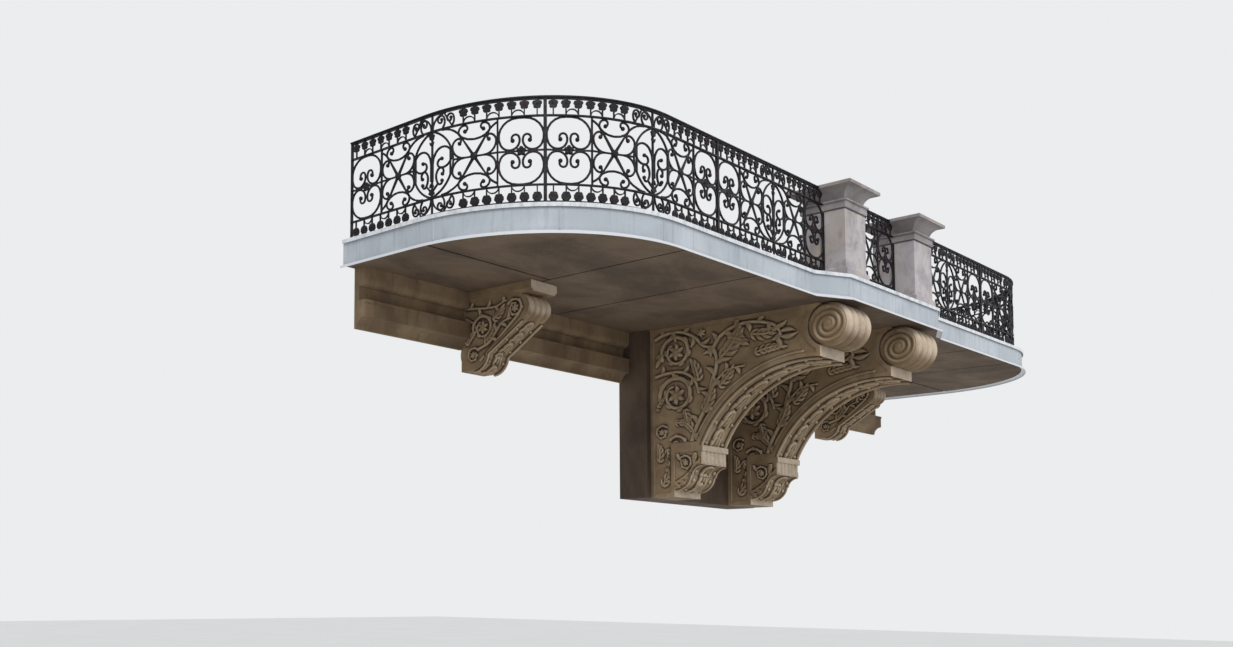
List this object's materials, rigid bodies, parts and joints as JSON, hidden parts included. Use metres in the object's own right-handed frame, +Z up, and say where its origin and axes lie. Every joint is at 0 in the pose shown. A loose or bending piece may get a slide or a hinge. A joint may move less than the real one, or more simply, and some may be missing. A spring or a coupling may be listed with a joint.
{
  "type": "iron balcony",
  "caption": "Wall-hung balcony with a rounded slab, scrollwork iron railing, stone piers, large carved consoles and small side brackets.",
  "frame": {"origin": "middle of the slab's back face, in the wall plane", "axes": "+Z up, -Y out from the wall to the street, +X along the wall to the right of a viewer in the street"},
  "size_m": [11.484, 2.8673, 3.22],
  "materials": {
    "soffit_render": "matte, grimed render with shallow joints",
    "painted_sheet": "semi matte paint on folded sheet",
    "white_sheet": "semi matte white paint",
    "grey_stone": "honed veined stone",
    "wrought_iron": "black oil paint on forged iron",
    "wall_stone": "dressed stone",
    "warm_stone": "carved warm stone, soot in the hollows"
  },
  "bodies": {
    "root": {"slab": "soffit_render", "fascia_left": "painted_sheet", "fascia_centre": "painted_sheet", "fascia_right": "painted_sheet", "flashing_left": "white_sheet", "flashing_centre": "white_sheet", "flashing_right": "white_sheet", "pier_left_base": "grey_stone", "pier_left_shaft": "grey_stone", "pier_left_cap": "grey_stone", "pier_right_base": "grey_stone", "pier_right_shaft": "grey_stone", "pier_right_cap": "grey_stone", "handrail_left": "wrought_iron", "handrail_centre": "wrought_iron", "handrail_right": "wrought_iron", "rail_left_bay_1": "wrought_iron", "rail_left_bay_2": "wrought_iron", "rail_left_bay_3": "wrought_iron", "rail_centre_panel": "wrought_iron", "rail_right_bay_1": "wrought_iron", "rail_right_bay_2": "wrought_iron", "rail_right_bay_3": "wrought_iron", "console_left_body": "warm_stone", "console_left_volute": "warm_stone", "console_left_leaf": "warm_stone", "console_right_body": "warm_stone", "console_right_volute": "warm_stone", "console_right_leaf": "warm_stone", "backing_pier": "wall_stone", "bracket_left_body": "warm_stone", "bracket_left_abacus": "warm_stone", "bracket_right_body": "warm_stone", "bracket_right_abacus": "warm_stone", "bed_moulding_left_outer": "warm_stone", "bed_moulding_left_inner": "warm_stone", "bed_moulding_right_inner": "warm_stone", "bed_moulding_right_outer": "warm_stone"}
  },
  "joints": []
}
